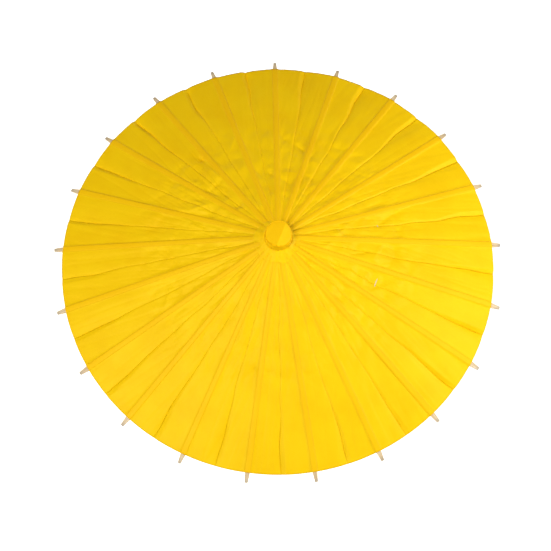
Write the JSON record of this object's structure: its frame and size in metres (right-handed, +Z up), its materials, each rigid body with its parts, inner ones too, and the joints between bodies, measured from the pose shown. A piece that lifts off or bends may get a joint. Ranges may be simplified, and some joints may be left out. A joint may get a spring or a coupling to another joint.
{
  "type": "oil paper umbrella",
  "caption": "Hand-held paper parasol with bamboo ribs and stretchers, a runner that slides on the shaft to open and close it, and a spring catch.",
  "frame": {"origin": "centre of the flat lower end of the handle grip", "axes": "+Z up along the shaft towards the top cap; +Y along rib 1; +X completes the right-handed frame, and the catch faces +X"},
  "size_m": [0.4158, 0.4147, 0.3284],
  "materials": {
    "oiled_paper": "yellow paper brushed with oil, matt with a slight sheen",
    "bamboo": "pale split bamboo, fine long grain",
    "turned_wood": "light turned wood, thinly oiled",
    "cotton_thread": "off-white twisted cotton",
    "steel": "plain drawn steel"
  },
  "bodies": {
    "frame": {"shaft": "bamboo", "handle_grip": "turned_wood", "head": "turned_wood", "head_pin": "steel", "head_thread": "cotton_thread", "joint_thread": "cotton_thread", "catch_pin": "steel", "canopy_paper": "oiled_paper", "cap_skirt": "oiled_paper", "top_cap": "oiled_paper"},
    "runner": {"runner": "turned_wood", "runner_thread": "cotton_thread"},
    "catch": {"catch": "bamboo"},
    "rib_01": {"rib_01": "bamboo"},
    "rib_02": {"rib_02": "bamboo"},
    "rib_03": {"rib_03": "bamboo"},
    "rib_04": {"rib_04": "bamboo"},
    "rib_05": {"rib_05": "bamboo"},
    "rib_06": {"rib_06": "bamboo"},
    "rib_07": {"rib_07": "bamboo"},
    "rib_08": {"rib_08": "bamboo"},
    "rib_09": {"rib_09": "bamboo"},
    "rib_10": {"rib_10": "bamboo"},
    "rib_11": {"rib_11": "bamboo"},
    "rib_12": {"rib_12": "bamboo"},
    "rib_13": {"rib_13": "bamboo"},
    "rib_14": {"rib_14": "bamboo"},
    "rib_15": {"rib_15": "bamboo"},
    "rib_16": {"rib_16": "bamboo"},
    "rib_17": {"rib_17": "bamboo"},
    "rib_18": {"rib_18": "bamboo"},
    "rib_19": {"rib_19": "bamboo"},
    "rib_20": {"rib_20": "bamboo"},
    "rib_21": {"rib_21": "bamboo"},
    "stretcher_01": {"stretcher_01": "bamboo"},
    "stretcher_02": {"stretcher_02": "bamboo"},
    "stretcher_03": {"stretcher_03": "bamboo"},
    "stretcher_04": {"stretcher_04": "bamboo"},
    "stretcher_05": {"stretcher_05": "bamboo"},
    "stretcher_06": {"stretcher_06": "bamboo"},
    "stretcher_07": {"stretcher_07": "bamboo"},
    "stretcher_08": {"stretcher_08": "bamboo"},
    "stretcher_09": {"stretcher_09": "bamboo"},
    "stretcher_10": {"stretcher_10": "bamboo"},
    "stretcher_11": {"stretcher_11": "bamboo"},
    "stretcher_12": {"stretcher_12": "bamboo"},
    "stretcher_13": {"stretcher_13": "bamboo"},
    "stretcher_14": {"stretcher_14": "bamboo"},
    "stretcher_15": {"stretcher_15": "bamboo"},
    "stretcher_16": {"stretcher_16": "bamboo"},
    "stretcher_17": {"stretcher_17": "bamboo"},
    "stretcher_18": {"stretcher_18": "bamboo"},
    "stretcher_19": {"stretcher_19": "bamboo"},
    "stretcher_20": {"stretcher_20": "bamboo"},
    "stretcher_21": {"stretcher_21": "bamboo"}
  },
  "joints": [
    {"name": "runner_slide", "type": "slide", "parent": "frame", "child": "runner", "axis": [0, 0, -1], "range_m": [0, 0.12094], "deforming": ["canopy_paper", "cap_skirt", "joint_thread", "runner_thread", "catch"]},
    {"name": "rib_01_hinge", "type": "hinge", "parent": "frame", "child": "rib_01", "pos_m": [0, 0.0102, 0.318], "axis": [-1, 0, 0], "range_deg": [0, 67]},
    {"name": "stretcher_01_hinge", "type": "hinge", "parent": "rib_01", "child": "stretcher_01", "pos_m": [0, 0.09389, 0.29081], "axis": [-1, 0, 0], "range_deg": [-134, 0]},
    {"name": "rib_02_hinge", "type": "hinge", "parent": "frame", "child": "rib_02", "pos_m": [-0.00301, 0.00975, 0.318], "axis": [-0.9556, -0.2948, 0], "range_deg": [0, 67]},
    {"name": "stretcher_02_hinge", "type": "hinge", "parent": "rib_02", "child": "stretcher_02", "pos_m": [-0.02768, 0.08972, 0.29081], "axis": [-0.9556, -0.2948, 0], "range_deg": [-134, 0]},
    {"name": "rib_03_hinge", "type": "hinge", "parent": "frame", "child": "rib_03", "pos_m": [-0.00575, 0.00843, 0.318], "axis": [-0.8262, -0.5633, 0], "range_deg": [0, 67]},
    {"name": "stretcher_03_hinge", "type": "hinge", "parent": "rib_03", "child": "stretcher_03", "pos_m": [-0.05289, 0.07758, 0.29081], "axis": [-0.8262, -0.5633, 0], "range_deg": [-134, 0]},
    {"name": "rib_04_hinge", "type": "hinge", "parent": "frame", "child": "rib_04", "pos_m": [-0.00797, 0.00636, 0.318], "axis": [-0.6235, -0.7818, 0], "range_deg": [0, 67]},
    {"name": "stretcher_04_hinge", "type": "hinge", "parent": "rib_04", "child": "stretcher_04", "pos_m": [-0.07341, 0.05854, 0.29081], "axis": [-0.6235, -0.7818, 0], "range_deg": [-134, 0]},
    {"name": "rib_05_hinge", "type": "hinge", "parent": "frame", "child": "rib_05", "pos_m": [-0.00949, 0.00373, 0.318], "axis": [-0.3653, -0.9309, 0], "range_deg": [0, 67]},
    {"name": "stretcher_05_hinge", "type": "hinge", "parent": "rib_05", "child": "stretcher_05", "pos_m": [-0.0874, 0.0343, 0.29081], "axis": [-0.3653, -0.9309, 0], "range_deg": [-134, 0]},
    {"name": "rib_06_hinge", "type": "hinge", "parent": "frame", "child": "rib_06", "pos_m": [-0.01017, 0.00076, 0.318], "axis": [-0.0747, -0.9972, 0], "range_deg": [0, 67]},
    {"name": "stretcher_06_hinge", "type": "hinge", "parent": "rib_06", "child": "stretcher_06", "pos_m": [-0.09363, 0.00702, 0.29081], "axis": [-0.0747, -0.9972, 0], "range_deg": [-134, 0]},
    {"name": "rib_07_hinge", "type": "hinge", "parent": "frame", "child": "rib_07", "pos_m": [-0.00994, -0.00227, 0.318], "axis": [0.2225, -0.9749, 0], "range_deg": [0, 67]},
    {"name": "stretcher_07_hinge", "type": "hinge", "parent": "rib_07", "child": "stretcher_07", "pos_m": [-0.09154, -0.02089, 0.29081], "axis": [0.2225, -0.9749, 0], "range_deg": [-134, 0]},
    {"name": "rib_08_hinge", "type": "hinge", "parent": "frame", "child": "rib_08", "pos_m": [-0.00883, -0.0051, 0.318], "axis": [0.5, -0.866, 0], "range_deg": [0, 67]},
    {"name": "stretcher_08_hinge", "type": "hinge", "parent": "rib_08", "child": "stretcher_08", "pos_m": [-0.08131, -0.04695, 0.29081], "axis": [0.5, -0.866, 0], "range_deg": [-134, 0]},
    {"name": "rib_09_hinge", "type": "hinge", "parent": "frame", "child": "rib_09", "pos_m": [-0.00694, -0.00748, 0.318], "axis": [0.7331, -0.6802, 0], "range_deg": [0, 67]},
    {"name": "stretcher_09_hinge", "type": "hinge", "parent": "rib_09", "child": "stretcher_09", "pos_m": [-0.06386, -0.06883, 0.29081], "axis": [0.7331, -0.6802, 0], "range_deg": [-134, 0]},
    {"name": "rib_10_hinge", "type": "hinge", "parent": "frame", "child": "rib_10", "pos_m": [-0.00443, -0.00919, 0.318], "axis": [0.901, -0.4339, 0], "range_deg": [0, 67]},
    {"name": "stretcher_10_hinge", "type": "hinge", "parent": "rib_10", "child": "stretcher_10", "pos_m": [-0.04074, -0.08459, 0.29081], "axis": [0.901, -0.4339, 0], "range_deg": [-134, 0]},
    {"name": "rib_11_hinge", "type": "hinge", "parent": "frame", "child": "rib_11", "pos_m": [-0.00152, -0.01009, 0.318], "axis": [0.9888, -0.149, 0], "range_deg": [0, 67]},
    {"name": "stretcher_11_hinge", "type": "hinge", "parent": "rib_11", "child": "stretcher_11", "pos_m": [-0.01399, -0.09284, 0.29081], "axis": [0.9888, -0.149, 0], "range_deg": [-134, 0]},
    {"name": "rib_12_hinge", "type": "hinge", "parent": "frame", "child": "rib_12", "pos_m": [0.00152, -0.01009, 0.318], "axis": [0.9888, 0.149, 0], "range_deg": [0, 67]},
    {"name": "stretcher_12_hinge", "type": "hinge", "parent": "rib_12", "child": "stretcher_12", "pos_m": [0.01399, -0.09284, 0.29081], "axis": [0.9888, 0.149, 0], "range_deg": [-134, 0]},
    {"name": "rib_13_hinge", "type": "hinge", "parent": "frame", "child": "rib_13", "pos_m": [0.00443, -0.00919, 0.318], "axis": [0.901, 0.4339, 0], "range_deg": [0, 67]},
    {"name": "stretcher_13_hinge", "type": "hinge", "parent": "rib_13", "child": "stretcher_13", "pos_m": [0.04074, -0.08459, 0.29081], "axis": [0.901, 0.4339, 0], "range_deg": [-134, 0]},
    {"name": "rib_14_hinge", "type": "hinge", "parent": "frame", "child": "rib_14", "pos_m": [0.00694, -0.00748, 0.318], "axis": [0.7331, 0.6802, 0], "range_deg": [0, 67]},
    {"name": "stretcher_14_hinge", "type": "hinge", "parent": "rib_14", "child": "stretcher_14", "pos_m": [0.06386, -0.06883, 0.29081], "axis": [0.7331, 0.6802, 0], "range_deg": [-134, 0]},
    {"name": "rib_15_hinge", "type": "hinge", "parent": "frame", "child": "rib_15", "pos_m": [0.00883, -0.0051, 0.318], "axis": [0.5, 0.866, 0], "range_deg": [0, 67]},
    {"name": "stretcher_15_hinge", "type": "hinge", "parent": "rib_15", "child": "stretcher_15", "pos_m": [0.08131, -0.04695, 0.29081], "axis": [0.5, 0.866, 0], "range_deg": [-134, 0]},
    {"name": "rib_16_hinge", "type": "hinge", "parent": "frame", "child": "rib_16", "pos_m": [0.00994, -0.00227, 0.318], "axis": [0.2225, 0.9749, 0], "range_deg": [0, 67]},
    {"name": "stretcher_16_hinge", "type": "hinge", "parent": "rib_16", "child": "stretcher_16", "pos_m": [0.09154, -0.02089, 0.29081], "axis": [0.2225, 0.9749, 0], "range_deg": [-134, 0]},
    {"name": "rib_17_hinge", "type": "hinge", "parent": "frame", "child": "rib_17", "pos_m": [0.01017, 0.00076, 0.318], "axis": [-0.0747, 0.9972, 0], "range_deg": [0, 67]},
    {"name": "stretcher_17_hinge", "type": "hinge", "parent": "rib_17", "child": "stretcher_17", "pos_m": [0.09363, 0.00702, 0.29081], "axis": [-0.0747, 0.9972, 0], "range_deg": [-134, 0]},
    {"name": "rib_18_hinge", "type": "hinge", "parent": "frame", "child": "rib_18", "pos_m": [0.00949, 0.00373, 0.318], "axis": [-0.3653, 0.9309, 0], "range_deg": [0, 67]},
    {"name": "stretcher_18_hinge", "type": "hinge", "parent": "rib_18", "child": "stretcher_18", "pos_m": [0.0874, 0.0343, 0.29081], "axis": [-0.3653, 0.9309, 0], "range_deg": [-134, 0]},
    {"name": "rib_19_hinge", "type": "hinge", "parent": "frame", "child": "rib_19", "pos_m": [0.00797, 0.00636, 0.318], "axis": [-0.6235, 0.7818, 0], "range_deg": [0, 67]},
    {"name": "stretcher_19_hinge", "type": "hinge", "parent": "rib_19", "child": "stretcher_19", "pos_m": [0.07341, 0.05854, 0.29081], "axis": [-0.6235, 0.7818, 0], "range_deg": [-134, 0]},
    {"name": "rib_20_hinge", "type": "hinge", "parent": "frame", "child": "rib_20", "pos_m": [0.00575, 0.00843, 0.318], "axis": [-0.8262, 0.5633, 0], "range_deg": [0, 67]},
    {"name": "stretcher_20_hinge", "type": "hinge", "parent": "rib_20", "child": "stretcher_20", "pos_m": [0.05289, 0.07758, 0.29081], "axis": [-0.8262, 0.5633, 0], "range_deg": [-134, 0]},
    {"name": "rib_21_hinge", "type": "hinge", "parent": "frame", "child": "rib_21", "pos_m": [0.00301, 0.00975, 0.318], "axis": [-0.9556, 0.2948, 0], "range_deg": [0, 67]},
    {"name": "stretcher_21_hinge", "type": "hinge", "parent": "rib_21", "child": "stretcher_21", "pos_m": [0.02768, 0.08972, 0.29081], "axis": [-0.9556, 0.2948, 0], "range_deg": [-134, 0]},
    {"name": "catch_press", "type": "hinge", "parent": "frame", "child": "catch", "pos_m": [0, 0, 0.21931], "axis": [0, -1, 0], "range_deg": [0, 7.5], "stiffness_Nm_per_rad": 0.1, "springref_deg": -5.73}
  ],
  "couplings": [
    {"joint": "rib_01_hinge", "follows": "runner_slide", "rad_per_m": 9.6688},
    {"joint": "stretcher_01_hinge", "follows": "runner_slide", "rad_per_m": -19.338},
    {"joint": "rib_02_hinge", "follows": "runner_slide", "rad_per_m": 9.6688},
    {"joint": "stretcher_02_hinge", "follows": "runner_slide", "rad_per_m": -19.338},
    {"joint": "rib_03_hinge", "follows": "runner_slide", "rad_per_m": 9.6688},
    {"joint": "stretcher_03_hinge", "follows": "runner_slide", "rad_per_m": -19.338},
    {"joint": "rib_04_hinge", "follows": "runner_slide", "rad_per_m": 9.6688},
    {"joint": "stretcher_04_hinge", "follows": "runner_slide", "rad_per_m": -19.338},
    {"joint": "rib_05_hinge", "follows": "runner_slide", "rad_per_m": 9.6688},
    {"joint": "stretcher_05_hinge", "follows": "runner_slide", "rad_per_m": -19.338},
    {"joint": "rib_06_hinge", "follows": "runner_slide", "rad_per_m": 9.6688},
    {"joint": "stretcher_06_hinge", "follows": "runner_slide", "rad_per_m": -19.338},
    {"joint": "rib_07_hinge", "follows": "runner_slide", "rad_per_m": 9.6688},
    {"joint": "stretcher_07_hinge", "follows": "runner_slide", "rad_per_m": -19.338},
    {"joint": "rib_08_hinge", "follows": "runner_slide", "rad_per_m": 9.6688},
    {"joint": "stretcher_08_hinge", "follows": "runner_slide", "rad_per_m": -19.338},
    {"joint": "rib_09_hinge", "follows": "runner_slide", "rad_per_m": 9.6688},
    {"joint": "stretcher_09_hinge", "follows": "runner_slide", "rad_per_m": -19.338},
    {"joint": "rib_10_hinge", "follows": "runner_slide", "rad_per_m": 9.6688},
    {"joint": "stretcher_10_hinge", "follows": "runner_slide", "rad_per_m": -19.338},
    {"joint": "rib_11_hinge", "follows": "runner_slide", "rad_per_m": 9.6688},
    {"joint": "stretcher_11_hinge", "follows": "runner_slide", "rad_per_m": -19.338},
    {"joint": "rib_12_hinge", "follows": "runner_slide", "rad_per_m": 9.6688},
    {"joint": "stretcher_12_hinge", "follows": "runner_slide", "rad_per_m": -19.338},
    {"joint": "rib_13_hinge", "follows": "runner_slide", "rad_per_m": 9.6688},
    {"joint": "stretcher_13_hinge", "follows": "runner_slide", "rad_per_m": -19.338},
    {"joint": "rib_14_hinge", "follows": "runner_slide", "rad_per_m": 9.6688},
    {"joint": "stretcher_14_hinge", "follows": "runner_slide", "rad_per_m": -19.338},
    {"joint": "rib_15_hinge", "follows": "runner_slide", "rad_per_m": 9.6688},
    {"joint": "stretcher_15_hinge", "follows": "runner_slide", "rad_per_m": -19.338},
    {"joint": "rib_16_hinge", "follows": "runner_slide", "rad_per_m": 9.6688},
    {"joint": "stretcher_16_hinge", "follows": "runner_slide", "rad_per_m": -19.338},
    {"joint": "rib_17_hinge", "follows": "runner_slide", "rad_per_m": 9.6688},
    {"joint": "stretcher_17_hinge", "follows": "runner_slide", "rad_per_m": -19.338},
    {"joint": "rib_18_hinge", "follows": "runner_slide", "rad_per_m": 9.6688},
    {"joint": "stretcher_18_hinge", "follows": "runner_slide", "rad_per_m": -19.338},
    {"joint": "rib_19_hinge", "follows": "runner_slide", "rad_per_m": 9.6688},
    {"joint": "stretcher_19_hinge", "follows": "runner_slide", "rad_per_m": -19.338},
    {"joint": "rib_20_hinge", "follows": "runner_slide", "rad_per_m": 9.6688},
    {"joint": "stretcher_20_hinge", "follows": "runner_slide", "rad_per_m": -19.338},
    {"joint": "rib_21_hinge", "follows": "runner_slide", "rad_per_m": 9.6688},
    {"joint": "stretcher_21_hinge", "follows": "runner_slide", "rad_per_m": -19.338}
  ]
}
